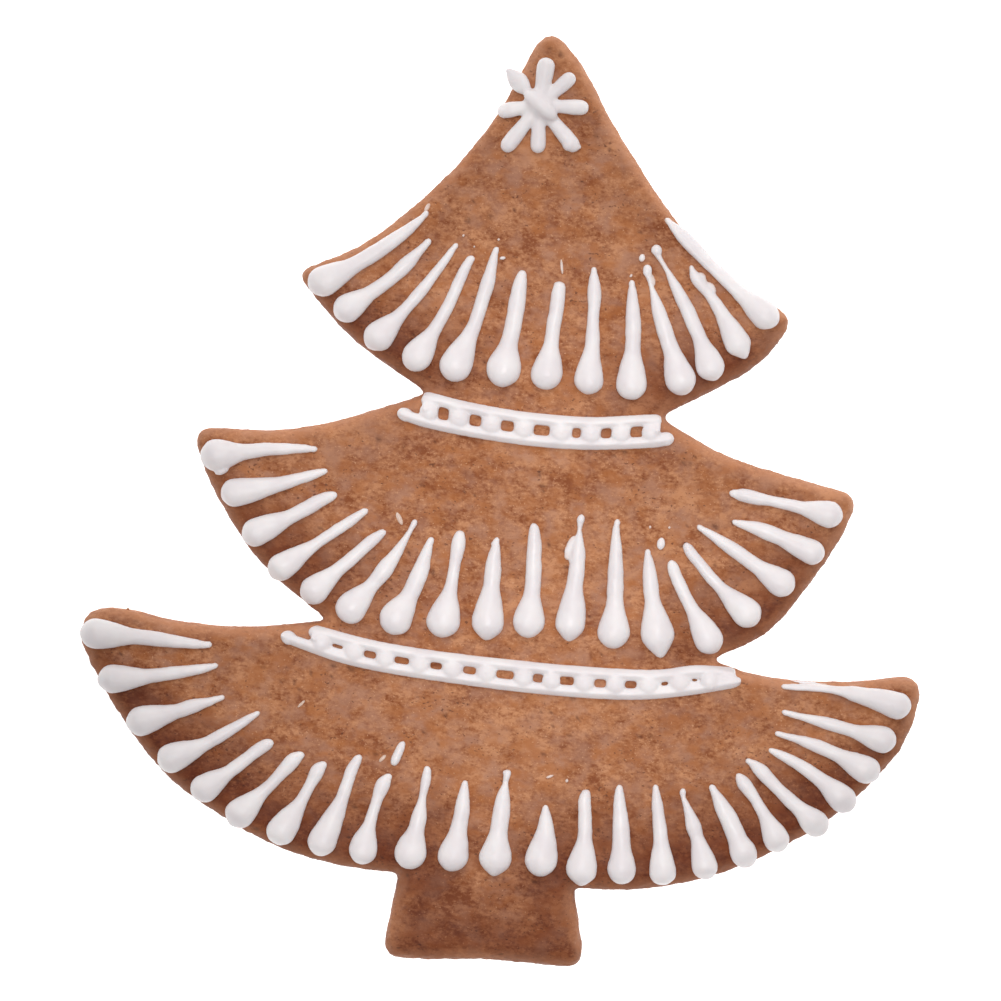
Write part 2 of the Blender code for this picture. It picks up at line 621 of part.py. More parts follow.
def close_sides(mesh, tops, feet):
    """Walls between the domed top and the flat foot, round the outside and in every hole."""
    foot_of = {top: foot for column, below in zip(tops, feet) for top, foot in zip(column, below)}
    for vert in list(mesh.verts):
        if not vert.link_faces:
            foot_of.pop(vert, None)
            mesh.verts.remove(vert)
    rims = [edge for edge in mesh.edges if edge.is_boundary and edge.verts[0] in foot_of]
    for edge in rims:
        a, b = edge.verts
        mesh.faces.new((a, b, foot_of[b], foot_of[a]))


def arm_at(angle, distance):
    """A place this far from the star's middle along an arm."""
    lean = math.radians(angle)
    return Vector(STAR_CENTRE) + Vector((math.sin(lean), math.cos(lean))) * distance


def star_pieces(outline):
    """The star's arms, its blob and the mound where they meet, as separate meshes."""
    pieces = []
    for lean, length, width in STAR_ARMS:
        centres = [arm_at(lean, length * share) for share in STAR_ARM_RINGS]
        widths = [width * share for share in STAR_ARM_WIDTHS]
        start = arm_at(lean, -STAR_OVERLAP)
        pieces.append(bead_mesh(centres, widths, start, arm_at(lean, length), outline))
    centres = [arm_at(STAR_BLOB_LEAN, distance) for distance, width in STAR_BLOB_RINGS]
    widths = [width for distance, width in STAR_BLOB_RINGS]
    start = arm_at(STAR_BLOB_LEAN, -STAR_OVERLAP)
    pieces.append(bead_mesh(centres, widths, start, arm_at(STAR_BLOB_LEAN, STAR_BLOB_END), outline))
    pieces.append(star_hub())
    return pieces


def star_hub():
    """The mound where the arms meet: half an oval ball along the last stroke, closed flat below."""
    hub = bmesh.new()
    half_axes = Vector((STAR_HUB_WIDTH / 2, STAR_HUB_LENGTH / 2, STAR_HUB_HEIGHT))
    turn = Matrix.Rotation(-math.radians(STAR_HUB_LEAN), 3, "Z")
    foot = THICKNESS + ICING_GAP
    cut_height = (foot + STAR_HUB_LIFT) * MM
    bmesh.ops.create_icosphere(hub, subdivisions=2, radius=1.0)
    bmesh.ops.scale(hub, vec=half_axes * MM, verts=hub.verts)
    bmesh.ops.rotate(hub, matrix=turn, verts=hub.verts)
    bmesh.ops.translate(hub, vec=Vector((*STAR_CENTRE, foot)) * MM, verts=hub.verts)
    ball = hub.verts[:] + hub.edges[:] + hub.faces[:]
    cut = bmesh.ops.bisect_plane(
        hub, geom=ball, plane_co=(0, 0, cut_height), plane_no=(0, 0, -1), clear_outer=True)
    rim = [item for item in cut["geom_cut"] if isinstance(item, bmesh.types.BMEdge)]
    bmesh.ops.edgeloop_fill(hub, edges=rim)
    return hub


# Objects -----------------------------------------------------------------------------------------
def new_material(name, colour, roughness):
    material = bpy.data.materials.new(name)
    material.use_nodes = True
    shader = material.node_tree.nodes["Principled BSDF"]
    shader.inputs["Base Color"].default_value = (*colour, 1.0)
    shader.inputs["Roughness"].default_value = roughness
    shader.inputs["Metallic"].default_value = 0.0
    material.diffuse_color = (*colour, 1.0)
    return material


def new_object(name, mesh, material, parent, sharp_angle=60):
    """A smooth-shaded object from a closed mesh whose faces are turned outwards."""
    bmesh.ops.recalc_face_normals(mesh, faces=mesh.faces)
    data = bpy.data.meshes.new(name)
    mesh.to_mesh(data)
    mesh.free()
    data.shade_smooth()
    data.set_sharp_from_angle(angle=math.radians(sharp_angle))
    data.materials.append(material)
    piece = bpy.data.objects.new(name, data)
    piece.parent = parent
    bpy.context.scene.collection.objects.link(piece)
    return piece


def join_pieces(name, meshes, material, parent):
    """One solid from overlapping pieces, by a single Boolean union."""
    body = new_object(name, meshes[0], material, parent)
    others = bpy.data.collections.new(name + "_pieces")
    for index, mesh in enumerate(meshes[1:]):
        piece = new_object(f"{name}_piece_{index}", mesh, material, None)
        bpy.context.scene.collection.objects.unlink(piece)
        others.objects.link(piece)
    union = body.modifiers.new("union", "BOOLEAN")
    union.operation = "UNION"
    union.operand_type = "COLLECTION"
    union.collection = others
    union.solver = "EXACT"
    joined = bpy.data.meshes.new_from_object(body.evaluated_get(bpy.context.evaluated_depsgraph_get()))
    body.modifiers.clear()
    body.data = joined
    for piece in list(others.objects):
        bpy.data.objects.remove(piece)
    bpy.data.collections.remove(others)
    return body


def centre_on_origin(parent):
    """Move everything so that the middle of the whole part's box stands over the origin."""
    places = [vert.co for piece in parent.children for vert in piece.data.vertices]
    low = Vector(min(place[axis] for place in places) for axis in range(2))
    high = Vector(max(place[axis] for place in places) for axis in range(2))
    middle = (low + high) / 2
    parent.location = (-middle.x, -middle.y, 0.0)


def build():
    for existing in list(bpy.data.objects):
        bpy.data.objects.remove(existing)
    tree = bpy.data.objects.new("tree", None)
    bpy.context.scene.collection.objects.link(tree)
    gingerbread = new_material("gingerbread", GINGERBREAD, 0.75)
    icing = new_material("royal_icing", ICING, 0.38)

    outline = cutter_outline()
    new_object("biscuit", biscuit_mesh(outline), gingerbread, tree, sharp_angle=40)
    for tier, heads, rows in TIERS:
        line = smooth_line(heads)
        distance = 0.0
        for number, row in enumerate(rows, 1):
            distance += row[0]
            head_at = head_place(line, distance, row[1])
            name = f"{tier}_drop_{number:02d}"
            new_object(name, drop_mesh(name, head_at, row, outline), icing, tree)
    new_object("bottom_dash", dash_mesh(outline), icing, tree)
    new_object("upper_band", band_mesh(UPPER_BAND, outline), icing, tree)
    new_object("lower_band", band_mesh(LOWER_BAND, outline), icing, tree)
    join_pieces("star", star_pieces(outline), icing, tree)
    centre_on_origin(tree)


build()
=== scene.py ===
"""The looks of a gingerbread tree cookie with piped royal icing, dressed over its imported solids.

The cookie lies flat with its decorated face up: +X is the tree's right, +Y its top. Places that are
given in millimetres are counted from the middle of the cookie.
"""

import math
import random

import bpy
import numpy as np
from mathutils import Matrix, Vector
from mathutils.bvhtree import BVHTree


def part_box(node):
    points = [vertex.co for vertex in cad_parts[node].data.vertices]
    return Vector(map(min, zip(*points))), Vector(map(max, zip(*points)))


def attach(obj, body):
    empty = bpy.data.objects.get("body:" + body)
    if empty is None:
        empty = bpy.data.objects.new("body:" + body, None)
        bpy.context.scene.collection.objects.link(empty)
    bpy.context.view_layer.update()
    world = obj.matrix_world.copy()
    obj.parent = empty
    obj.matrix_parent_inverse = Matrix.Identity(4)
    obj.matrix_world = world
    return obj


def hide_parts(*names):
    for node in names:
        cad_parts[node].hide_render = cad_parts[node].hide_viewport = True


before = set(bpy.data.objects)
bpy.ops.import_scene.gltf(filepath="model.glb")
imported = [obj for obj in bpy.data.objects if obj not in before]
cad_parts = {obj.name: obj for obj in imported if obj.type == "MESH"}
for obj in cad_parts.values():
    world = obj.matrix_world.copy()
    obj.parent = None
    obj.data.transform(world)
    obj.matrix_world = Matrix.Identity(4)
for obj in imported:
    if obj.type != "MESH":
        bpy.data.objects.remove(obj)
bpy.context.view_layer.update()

# The view ----------------------------------------------------------------------------------------
# The cookie was photographed from straight above with a long lens, on a white ground. In the
# picture the tree leans to the right, so the camera is turned the other way.
MM = 0.001
PICTURE_WIDTH = 160.75 * MM     # what the square picture shows, measured at the cookie's top face
PICTURE_MIDDLE = (-2.3 * MM, -0.2 * MM)
TREE_LEAN = math.radians(5.35)
LENS_DISTANCE = 1.0             # metres
SENSOR_WIDTH = 36.0
NEAREST_SEEN = 0.01

top_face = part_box("biscuit")[1].z
bpy.ops.object.camera_add(
    location=(*PICTURE_MIDDLE, top_face + LENS_DISTANCE), rotation=(0.0, 0.0, TREE_LEAN))
camera = bpy.context.object
camera.name = "camera"
camera.data.sensor_width = SENSOR_WIDTH
camera.data.lens = SENSOR_WIDTH * LENS_DISTANCE / PICTURE_WIDTH
camera.data.clip_start = NEAREST_SEEN
bpy.context.scene.camera = camera

# Light and floor ---------------------------------------------------------------------------------
# A glowing white table under a big soft light that hangs beyond the tree's top, with white all
# round. The table lights up its own shadows, and upper edges shine. A second light overhead fades
# towards its rim, so that the cookie's left and right ends are a little dimmer than its middle.
ROOM_STRENGTH = 0.43
WHITE = (1.0, 1.0, 1.0, 1.0)
KEY_POWER = 2.5                 # watts
KEY_SIZE = 0.5                  # metres, like the places and sizes of the rest of the light
KEY_PLACE = (0.0, 0.58, 0.56)
POOL_POWER = 26.5
POOL_HEIGHT = 1.2
POOL_MIDDLE = (8.0 * MM, -14.0 * MM)
POOL_REACH = (94.0 * MM, 124.0 * MM)  # it fades out this far to the sides, and up and down
POOL_SOFTNESS = 0.02            # radius of its bulb; a wider one would blur the fading
FLOOR_SIZE = 6.0
FLOOR_GAP = 0.05 * MM           # the table's top lies this far under the cookie
FLOOR_WHITE = (0.9, 0.9, 0.9, 1.0)
FLOOR_ROUGHNESS = 0.9
FLOOR_GLOW = 0.8

room = bpy.data.worlds.new("white_room")
room.use_nodes = True
room.node_tree.nodes["Background"].inputs["Color"].default_value = WHITE
room.node_tree.nodes["Background"].inputs["Strength"].default_value = ROOM_STRENGTH
bpy.context.scene.world = room
bpy.context.scene.view_settings.view_transform = "Standard"

bpy.ops.object.light_add(type="AREA", location=KEY_PLACE)
key = bpy.context.object
key.name = "soft_light"
key.data.shape = "SQUARE"
key.data.size = KEY_SIZE
key.data.energy = KEY_POWER
key.rotation_euler = (-Vector(KEY_PLACE)).to_track_quat("-Z", "Y").to_euler()

bpy.ops.object.light_add(type="SPOT", location=(*POOL_MIDDLE, POOL_HEIGHT))
pool = bpy.context.object
pool.name = "overhead_light"
pool.data.energy = POOL_POWER
pool.data.shadow_soft_size = POOL_SOFTNESS
pool.data.spot_size = 2 * math.atan(POOL_REACH[1] / POOL_HEIGHT)
pool.data.spot_blend = 1.0
pool.scale = (POOL_REACH[0] / POOL_REACH[1], 1.0, 1.0)
pool.visible_camera = False

bpy.ops.mesh.primitive_plane_add(size=FLOOR_SIZE, location=(0.0, 0.0, -FLOOR_GAP))
floor = bpy.context.object
floor.name = "white_table"
table_top = bpy.data.materials.new("white_table")
table_top.use_nodes = True
table_shader = table_top.node_tree.nodes["Principled BSDF"]
table_shader.inputs["Base Color"].default_value = FLOOR_WHITE
table_shader.inputs["Roughness"].default_value = FLOOR_ROUGHNESS
table_shader.inputs["Emission Color"].default_value = WHITE
table_shader.inputs["Emission Strength"].default_value = FLOOR_GLOW
floor.data.materials.append(table_top)

# Biscuit -----------------------------------------------------------------------------------------
# One sheet of gingerbread dough, rolled, cut out with a tree cutter and baked flat on a tray. Its
# upper edge has softened to a round and tore a little, and its face is mottled and full of small
# pits, which are painted dark as painted shade. It is darker along the hems and on the trunk,
# partly browned and partly painted shade that is strongest on the lower edges, and its cut rim has
# a painted rim light.
SAME_PLACE = 0.001 * MM         # corners of a solid's triangles this near are one corner
ON_THE_GROUND = 0.01 * MM       # a corner below this belongs to the flat underside
CRUMB_STEP = 0.42 * MM          # size of the facets on the top and the sides
UNDERSIDE_SHARE = 0.62          # of all faces left once the flat underside is thinned
UNDERSIDE_DEPTH = 0.2 * MM      # the underside's thinned part lies lower than this
UNDERSIDE_INSET = 1.5 * MM      # and further in from the edge than this
RELIEF_START = 0.6 * MM         # the wall is smooth up to this height
RELIEF_RISE = 1.8 * MM          # and has its full roughness this much higher
DOUGH_RELIEF = (                # size of the bumps and how far they reach, from waves to crumb
    (11.0 * MM, 0.22 * MM),
    (3.2 * MM, 0.16 * MM),
    (1.1 * MM, 0.16 * MM),
)
RIM_WIDTH = 1.6 * MM            # the cut edge, torn a little by the cutter
RIM_RELIEF = (
    (2.6 * MM, 0.55 * MM),
    (0.9 * MM, 0.5 * MM),
)
PIT_CLUSTERS = 150              # bubbles broke in groups
PITS_A_CLUSTER = (1, 6)
CLUSTER_SPREAD = 2.2 * MM
PIT_RADIUS = (0.18 * MM, 0.62 * MM)
PIT_DEPTH = (0.06 * MM, 0.34 * MM)
PIT_STRETCH = 1.7               # the longest pits are drawn out by this much
PIT_TURN = 0.6                  # and turned about this much, in radians
PIT_SEED = 7
TOP_SKIN = 1.2 * MM             # pits are pressed into what lies less than this under the top
HEM_REACH = 17.0 * MM           # the dough is darker this far in from its edge, from browning and painted shade
HEM_START = 4.0 * MM
LEAST_BROWNING_AND_SHADE = 0.16           # upper edges least, lower ones most: painted shade where edges face away from the light, on browning
MOST_BROWNING_AND_SHADE = 0.97
BROWNING_AND_SHADE_TURN = (0.35, -0.7)    # between edges that face this far up and down
HEM_BLEND = 4.0 * MM            # neighbouring edges share their browning, painted shade and painted light over this distance
RIM_LIGHT_FROM = Vector((0.5, 0.87))  # painted rim light: the cut rim is painted lighter, most on the side that faces this way
LEAST_RIM_LIGHT = 0.28
MOST_RIM_LIGHT = 0.62


def pick(piece):
    """Make a piece the only one that the next operator acts on."""
    bpy.ops.object.select_all(action="DESELECT")
    bpy.context.view_layer.objects.active = piece
    piece.select_set(True)


def copy_of_solid(node, name):
    """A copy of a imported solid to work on, its loose triangles merged into one skin."""
    piece = bpy.data.objects.new(name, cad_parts[node].data.copy())
    piece.data.materials.clear()
    bpy.context.scene.collection.objects.link(piece)
    pick(piece)
    bpy.ops.object.mode_set(mode="EDIT")
    bpy.ops.mesh.select_all(action="SELECT")
    bpy.ops.mesh.remove_doubles(threshold=SAME_PLACE)
    bpy.ops.mesh.tris_convert_to_quads()
    bpy.ops.object.mode_set(mode="OBJECT")
    bpy.ops.mesh.customdata_custom_splitnormals_clear()
    return piece


def apply_modifier(piece, kind, **settings):
    """Add a modifier with these settings and apply it."""
    modifier = piece.modifiers.new(kind.lower(), kind)
    for setting, value in settings.items():
        setattr(modifier, setting, value)
    pick(piece)
    bpy.ops.object.modifier_apply(modifier=modifier.name)


def places_of(piece):
    """The places of a piece's vertices, as rows of x, y, z."""
    places = np.empty(len(piece.data.vertices) * 3)
    piece.data.vertices.foreach_get("co", places)
    return places.reshape(-1, 3)


def move_to(piece, places):
    """Give a piece's vertices new places."""
    piece.data.vertices.foreach_set("co", places.ravel())
    piece.data.update()


def add_group(piece, name, weights):
    """Give a piece a vertex group, with one weight for each vertex."""
    group = piece.vertex_groups.new(name=name)
    for index, weight in enumerate(weights):
        if weight > 0.0:
            group.add([index], float(weight), "REPLACE")


def roughen(piece, size, depth, group="", direction="NORMAL"):
    """Push the skin in and out by clouds of this size."""
    bumps = bpy.data.textures.new(f"{piece.name}_{direction}_{size:.5f}", "CLOUDS")
    bumps.noise_basis = "IMPROVED_PERLIN"
    bumps.noise_scale = size
    apply_modifier(
        piece, "DISPLACE", texture=bumps, texture_coords="LOCAL", strength=depth, mid_level=0.5,
        vertex_group=group, direction=direction)


def outline_of(solid):
    """The biscuit's outline as the rim of its underside: each stretch's ends and its way out."""
    users = {}
    for face in solid.data.polygons:
        if all(solid.data.vertices[index].co.z < ON_THE_GROUND for index in face.vertices):
            for pair in face.edge_keys:
                users.setdefault(pair, []).append(face.center.xy)
    stretches = []
    for pair, centres in users.items():
        if len(centres) == 1:
            start, end = (solid.data.vertices[index].co.xy for index in pair)
            outward = (end - start).orthogonal().normalized()
            if outward.dot(centres[0] - start) > 0.0:
                outward.negate()
            stretches.append((start, end, outward))
    return np.array(stretches)


def distance_to(outline, places):
    """How far each place lies from the outline, seen from above, and the way out of it there."""
    nearest = np.full(len(places), np.inf)
    outward = np.zeros((len(places), 2))
    for start, end, way_out in outline:
        along = end - start
        share = np.clip((places[:, :2] - start) @ along / (along @ along), 0.0, 1.0)
        away = np.hypot(*(places[:, :2] - start - share[:, None] * along).T)
        weight = np.hypot(*along) * np.exp(-away / HEM_BLEND)
        nearest = np.minimum(nearest, away)
        outward += weight[:, None] * way_out
    length = np.maximum(np.hypot(*outward.T), np.finfo(float).tiny)
    return nearest, outward / length[:, None]


def press_pit(places, middle, size, draw):
    """Press one uneven pit into the top, and give how deep inside it each place lies."""
    radius = PIT_RADIUS[0] + (PIT_RADIUS[1] - PIT_RADIUS[0]) * size
    depth = PIT_DEPTH[0] + (PIT_DEPTH[1] - PIT_DEPTH[0]) * size
    stretch = draw.uniform(1.0, PIT_STRETCH)
    turn = draw.gauss(0.0, PIT_TURN)
    across, up = (places[:, :2] - middle).T
    along = (across * math.cos(turn) + up * math.sin(turn)) / stretch
    aside = (up * math.cos(turn) - across * math.sin(turn)) * stretch
    away = np.minimum(np.hypot(along, aside) / radius, 1.0)
    bowl = np.where(places[:, 2] > top_face - TOP_SKIN, (1.0 - away ** 2) ** 2, 0.0)
    places[:, 2] -= bowl * depth
    return bowl


def press_pits(places, seed):
    """Groups of small pits where bubbles broke, and how deep inside a pit each place lies."""
    draw = random.Random(seed)
    low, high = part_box("biscuit")
    depths = np.zeros(len(places))
    for _ in range(PIT_CLUSTERS):
        group = np.array((draw.uniform(low.x, high.x), draw.uniform(low.y, high.y)))
        for _ in range(draw.randint(*PITS_A_CLUSTER)):
            offset = np.array((draw.gauss(0.0, CLUSTER_SPREAD), draw.gauss(0.0, CLUSTER_SPREAD)))
            size = draw.random() ** 2
            depths = np.maximum(depths, press_pit(places, group + offset, size, draw))
    return depths


def record_on(piece, name, values):
    """Store one number for each vertex, for the material to read."""
    attribute = piece.data.attributes.new(name, "FLOAT", "POINT")
    attribute.data.foreach_set("value", np.asarray(values, dtype=np.float32))


biscuit = copy_of_solid("biscuit", "baked_biscuit")
biscuit_outline = outline_of(biscuit)
apply_modifier(biscuit, "REMESH", mode="VOXEL", voxel_size=CRUMB_STEP)
places = places_of(biscuit)
inland, _ = distance_to(biscuit_outline, places)
add_group(biscuit, "underside", (places[:, 2] < UNDERSIDE_DEPTH) & (inland > UNDERSIDE_INSET))
apply_modifier(biscuit, "DECIMATE", ratio=UNDERSIDE_SHARE, vertex_group="underside")
places = places_of(biscuit)
inland, outward = distance_to(biscuit_outline, places)
raised = np.clip((places[:, 2] - RELIEF_START) / RELIEF_RISE, 0.0, 1.0)
near_rim = np.clip(1.0 - inland / RIM_WIDTH, 0.0, 1.0)
add_group(biscuit, "upper", raised)
add_group(biscuit, "rim", raised * near_rim)
for bump_size, bump_depth in DOUGH_RELIEF:
    roughen(biscuit, bump_size, bump_depth, group="upper")
for bump_size, bump_depth in RIM_RELIEF:
    roughen(biscuit, bump_size, bump_depth, group="rim")
places = places_of(biscuit)
record_on(biscuit, "pit", press_pits(places, PIT_SEED))
move_to(biscuit, places)
# browning and painted shade: darker near the edge, most where the edge faces down, away from the
# light
browning_and_shade = np.interp(
    -outward[:, 1], [-turn for turn in BROWNING_AND_SHADE_TURN], [LEAST_BROWNING_AND_SHADE, MOST_BROWNING_AND_SHADE])
near_hem = np.clip((HEM_REACH - inland) / (HEM_REACH - HEM_START), 0.0, 1.0)
record_on(biscuit, "browned_and_shaded", browning_and_shade * near_hem)
# painted rim light: the cut rim is painted lighter the more it faces up and to the right
rim_light = np.interp(outward @ RIM_LIGHT_FROM, [0.0, 1.0], [LEAST_RIM_LIGHT, MOST_RIM_LIGHT])
record_on(biscuit, "painted_rim_light", near_rim * rim_light)
biscuit.vertex_groups.clear()
biscuit.data.shade_smooth()


MIX_INPUTS = (0, 6, 7)          # a colour mix node's share and two colours
MIX_OUTPUT = 2
CLOUD_SPAN = (0.3, 0.7)         # nearly all of a noise lies between these
SPECK_PATCH = 9.0               # specks gather in patches this many times their size
SPECK_EDGE = 0.05               # how softly they end


def feed(tree, socket, value):
    """Give a socket a value or another node's output."""
    if isinstance(value, bpy.types.NodeSocket):
        tree.links.new(value, socket)
    else:
        socket.default_value = value


def add_node(tree, kind, **sockets):
    """A material node, with what its sockets are fed."""
    made = tree.nodes.new(kind)
    for name, value in sockets.items():
        feed(tree, made.inputs[name.replace("_", " ")], value)
    return made


def recorded(tree, name):
    """A number that the piece stores for each vertex."""
    made = add_node(tree, "ShaderNodeAttribute")
    made.attribute_name = name
    return made.outputs["Fac"]


def blend(tree, share, first, second, mode="MIX"):
    """Two colours mixed by a share."""
    mix = tree.nodes.new("ShaderNodeMix")
    mix.data_type = "RGBA"
    mix.blend_type = mode
    for index, value in zip(MIX_INPUTS, (share, first, second)):
        feed(tree, mix.inputs[index], value)
    return mix.outputs[MIX_OUTPUT]


def rescale(tree, value, low, high, to_low=0.0, to_high=1.0):
    """A value stretched from one range to another, and held inside it."""
    made = add_node(
        tree, "ShaderNodeMapRange", Value=value, From_Min=low, From_Max=high, To_Min=to_low,
        To_Max=to_high)
    return made.outputs["Result"]


def combine(tree, operation, first, second):
    """Two values added or multiplied."""
    made = tree.nodes.new("ShaderNodeMath")
    made.operation = operation
    feed(tree, made.inputs[0], first)
    feed(tree, made.inputs[1], second)
    return made.outputs[0]


def millimetres(tree, stretch=(1.0, 1.0, 1.0)):
    """Places on the piece, counted in millimetres."""
    places = add_node(tree, "ShaderNodeTexCoord")
    scaled = add_node(
        tree, "ShaderNodeMapping", Vector=places.outputs["Object"],
        Scale=[share / MM for share in stretch])
    return scaled.outputs["Vector"]


def clouds(tree, places, size, detail=2.0, roughness=0.5):
    """Cloudy noise whose patches are about this many millimetres wide."""
    noise = add_node(
        tree, "ShaderNodeTexNoise", Vector=places, Scale=1.0 / size, Detail=detail,
        Roughness=roughness)
    return noise.outputs["Fac"]


def patches(tree, places, size, low, high, detail=3.0):
    """Cloudy noise stretched so that it runs from one value to another."""
    return rescale(tree, clouds(tree, places, size, detail), *CLOUD_SPAN, low, high)


def specks(tree, places, size, threshold, share, gathered=0.0):
    """Small uneven specks about this size: the peaks of a fine cloud, gathered in wider patches."""
    cloud = clouds(tree, places, size, 1.0)
    if gathered:
        wider = patches(tree, places, SPECK_PATCH * size, -gathered, gathered, 2.0)
        cloud = combine(tree, "ADD", cloud, wider)
    return combine(tree, "MULTIPLY", rescale(tree, cloud, threshold, threshold + SPECK_EDGE), share)


def new_material(name):
    """A fresh material, its node tree and its shader."""
    material = bpy.data.materials.new(name)
    material.use_nodes = True
    return material, material.node_tree, material.node_tree.nodes["Principled BSDF"]


DARK_CRUST = (0.229, 0.061, 0.016, 1.0)  # the two ends of the crust's mottling
PALE_CRUST = (0.521, 0.232, 0.110, 1.0)
DUSTY_CRUST = (0.394, 0.186, 0.114, 1.0)  # where flour dulled the crust
DUST_PATCH = 3.2                # size in millimetres
DUST_SPAN = (0.45, 0.68)        # where in the noise its patches start and are full
TREACLE_CRUST = (0.385, 0.130, 0.039, 1.0)  # where the dough was darker and sweeter
TREACLE_PATCH = 2.3
TREACLE_SPAN = (0.47, 0.68)
MOST_TINT = 0.75                # share of either in the middle of a patch
# the colour of spice grains, also used for the painted shade in the pits
SPICE_AND_PIT_SHADE = (0.10, 0.030, 0.014, 1.0)
SUGAR = (0.630, 0.329, 0.181, 1.0)
SUGAR_SPECKS = (0.36, 0.69, 0.6)  # size in millimetres, threshold and share
SPICE_SPECKS = (0.5, 0.71, 0.7, 0.10)  # the same, and how strongly they are gathered
# how dark the pits are painted: painted shade in their hollows
PIT_PAINTED_SHADE = 0.8
# the colour of the painted rim light
RIM_LIGHT_COLOUR = (0.64, 0.30, 0.165, 1.0)
BROWNED_AND_SHADED = (0.40, 0.238, 0.152, 1.0)  # what browning and painted shade leave of the crust's colour
BROWNING_AND_SHADE_PATCH = 4.0
BROWNING_AND_SHADE_UNEVEN = 0.12
TRUNK_SPAN = (-58.0, -66.0)     # the trunk starts and is itself at these heights, in millimetres and is darkened less there than the hems
TRUNK_RELIEF = -0.16            # and browned less than the hems
ROLLED_STRETCH = (0.8, 1.15, 1.0)
CRUST_GLOSS = (0.55, 0.75)      # the least and the most rough patches
MOTTLES = (                     # size in millimetres and strength, from patches to grain
    (13.0, 0.40),
    (6.5, 0.36),
    (3.2, 0.38),
    (1.6, 0.43),
    (0.8, 0.54),
    (0.42, 0.56),
    (0.22, 0.35),
)


def gingerbread_material():
    """Baked dough: mottled, speckled, pitted, browned, with painted shade and a painted rim light.
    """
    material, tree, shader = new_material("baked_gingerbread")
    places = millimetres(tree)
    rolled = millimetres(tree, ROLLED_STRETCH)

    # mottled from wide patches down to single grains, drawn out a little as the dough was rolled
    tone = 0.5
    for size, strength in MOTTLES:
        mottle = rescale(tree, clouds(tree, rolled, size, 1.0), 0.0, 1.0, -strength, strength)
        tone = combine(tree, "ADD", tone, mottle)
    colour = blend(tree, tone, DARK_CRUST, PALE_CRUST)
    dust = rescale(tree, clouds(tree, places, DUST_PATCH, 3.0), *DUST_SPAN, 0.0, MOST_TINT)
    colour = blend(tree, dust, colour, DUSTY_CRUST)
    treacle = rescale(tree, clouds(tree, rolled, TREACLE_PATCH, 3.0), *TREACLE_SPAN, 0.0, MOST_TINT)
    colour = blend(tree, treacle, colour, TREACLE_CRUST)
    # sugar, grains of spice, and pits painted dark as painted shade in their hollows
    colour = blend(tree, specks(tree, places, *SUGAR_SPECKS), colour, SUGAR)
    colour = blend(tree, specks(tree, rolled, *SPICE_SPECKS), colour, SPICE_AND_PIT_SHADE)
    pit_shade = combine(tree, "MULTIPLY", recorded(tree, "pit"), PIT_PAINTED_SHADE)
    colour = blend(tree, pit_shade, colour, SPICE_AND_PIT_SHADE)
    # browning and painted shade along the edges, most below, less on the trunk; a painted rim light
    uneven = patches(tree, places, BROWNING_AND_SHADE_PATCH, -BROWNING_AND_SHADE_UNEVEN, BROWNING_AND_SHADE_UNEVEN)
    height = add_node(tree, "ShaderNodeSeparateXYZ", Vector=places).outputs["Y"]
    trunk = rescale(tree, height, *TRUNK_SPAN, 0.0, TRUNK_RELIEF)
    burnt_and_shaded = combine(tree, "ADD", combine(tree, "ADD", recorded(tree, "browned_and_shaded"), uneven), trunk)
    colour = blend(tree, 1.0, colour, blend(tree, burnt_and_shaded, WHITE, BROWNED_AND_SHADED), "MULTIPLY")
    # painted rim light on the cut rim
    colour = blend(tree, recorded(tree, "painted_rim_light"), colour, RIM_LIGHT_COLOUR)
    tree.links.new(colour, shader.inputs["Base Color"])

    gloss = patches(tree, places, 2.5, *CRUST_GLOSS)
    tree.links.new(gloss, shader.inputs["Roughness"])
    shader.inputs["Specular IOR Level"].default_value = 0.25
    fine = add_node(tree, "ShaderNodeBump", Height=clouds(tree, places, 0.35, 4.0, 0.65),
                    Strength=0.5, Distance=0.13 * MM)
    coarse = add_node(tree, "ShaderNodeBump", Height=clouds(tree, rolled, 1.3, 3.0, 0.6),
                      Normal=fine.outputs["Normal"], Strength=0.6, Distance=0.25 * MM)
    tree.links.new(coarse.outputs["Normal"], shader.inputs["Normal"])
    return material


biscuit.data.materials.append(gingerbread_material())
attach(biscuit, "root")
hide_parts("biscuit")

# Piped drops -------------------------------------------------------------------------------------
# Royal icing, piped on each hem from a round head up to a thin tail and left to set. It is white,
# satin and a little see-through, bulges over its own foot and sticks to the biscuit.
SET_DOWN = 0.3 * MM             # the icing comes down this far to lie on the biscuit
FOOT_SINK = 0.12 * MM           # and its foot lies this deep in the biscuit's face
FOOT_REACH = 1.3 * MM           # a foot this far above the biscuit hangs free
FOOT_SLOPE = -0.7               # a face that looks down more than this is part of a foot
PROBE_RISE = 2.0 * MM           # the biscuit's face is looked for from this far above a place
DOWN = Vector((0.0, 0.0, -1.0))
OFF_THE_EDGE = 2.0              # millimetres of icing taken where no biscuit lies below
DROP_FINENESS = 2
DROP_FULLNESS = 0.75            # share of what smoothing takes that is given back beforehand
DROP_STEP = 0.2 * MM
DROP_MELTING = (4, 0.05 * MM)   # rounds of melting, and the swelling that makes up for them
DAB_PROBE = 0.02                # a dab comes down from this height, in metres
DAB_RISE = 0.3                  # its middle stands this share of its thickness over the biscuit
RING_CORNERS = 7                # a drop's last ring before its pointed end has this many corners
TIP_SIZE = (1.0, 1.5, 0.7)      # dab on a tail's end: width, length, height as shares of the ring
TIP_DEPTH = 0.42                # its middle lies this share of its length in from the end
